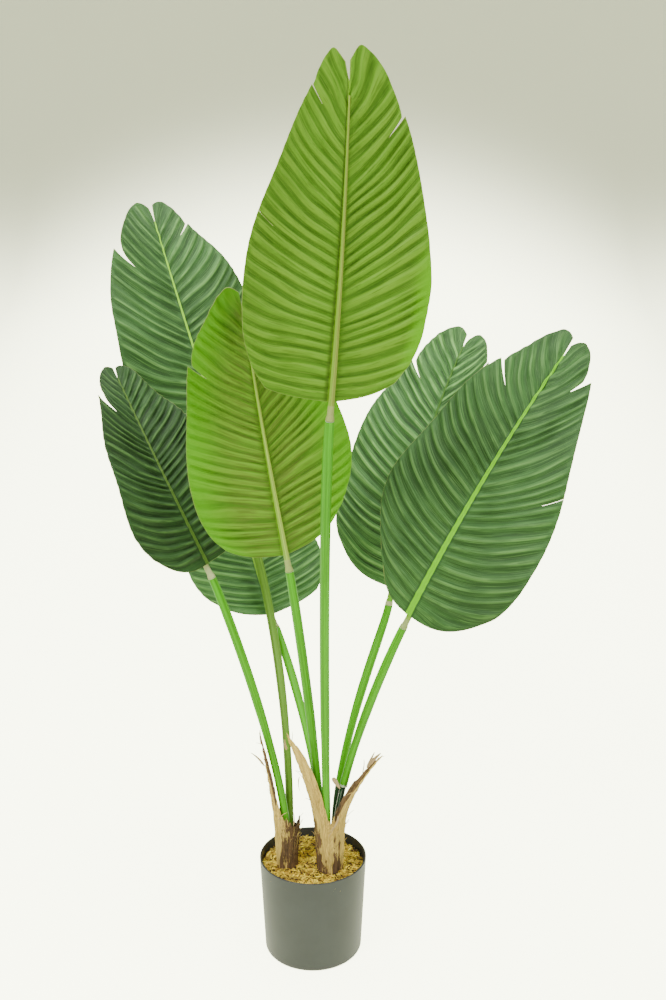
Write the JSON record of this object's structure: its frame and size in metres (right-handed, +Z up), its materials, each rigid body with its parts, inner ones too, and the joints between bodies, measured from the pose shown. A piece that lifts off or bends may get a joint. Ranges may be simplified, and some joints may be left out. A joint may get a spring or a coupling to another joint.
{
  "type": "potted banana plant",
  "caption": "Artificial banana plant with broad pleated leaves on tube stems, bark husks and moss in a plain round dark pot.",
  "frame": {"origin": "centre of the pot's flat base, on the floor", "axes": "+Z up; -Y towards the side that the picture shows, +X to the right seen from there"},
  "size_m": [0.7372, 0.7749, 1.3937],
  "materials": {
    "pot": "satin",
    "fill": "matte",
    "moss": "matte",
    "leaf_upper": "satin",
    "leaf_under": "satin",
    "rib": "satin",
    "stem": "satin",
    "core": "gloss",
    "husk": "matte"
  },
  "bodies": {
    "root": {"pot": "pot", "fill": "fill", "moss": "moss", "leaf_1": "leaf_under", "leaf_2": "leaf_under", "leaf_3": "leaf_upper", "leaf_4": "leaf_upper", "leaf_5": "leaf_upper", "leaf_6": "leaf_upper", "leaf_7": "leaf_upper", "rib_1": "rib", "rib_2": "rib", "rib_3": "rib", "rib_4": "rib", "rib_5": "rib", "rib_6": "rib", "rib_7": "rib", "stem_1": "stem", "stem_2": "stem", "stem_3": "stem", "stem_4": "stem", "stem_5": "stem", "stem_6": "stem", "stem_7": "stem", "core_7": "core", "husk_left": "husk", "husk_right": "husk"}
  },
  "joints": []
}
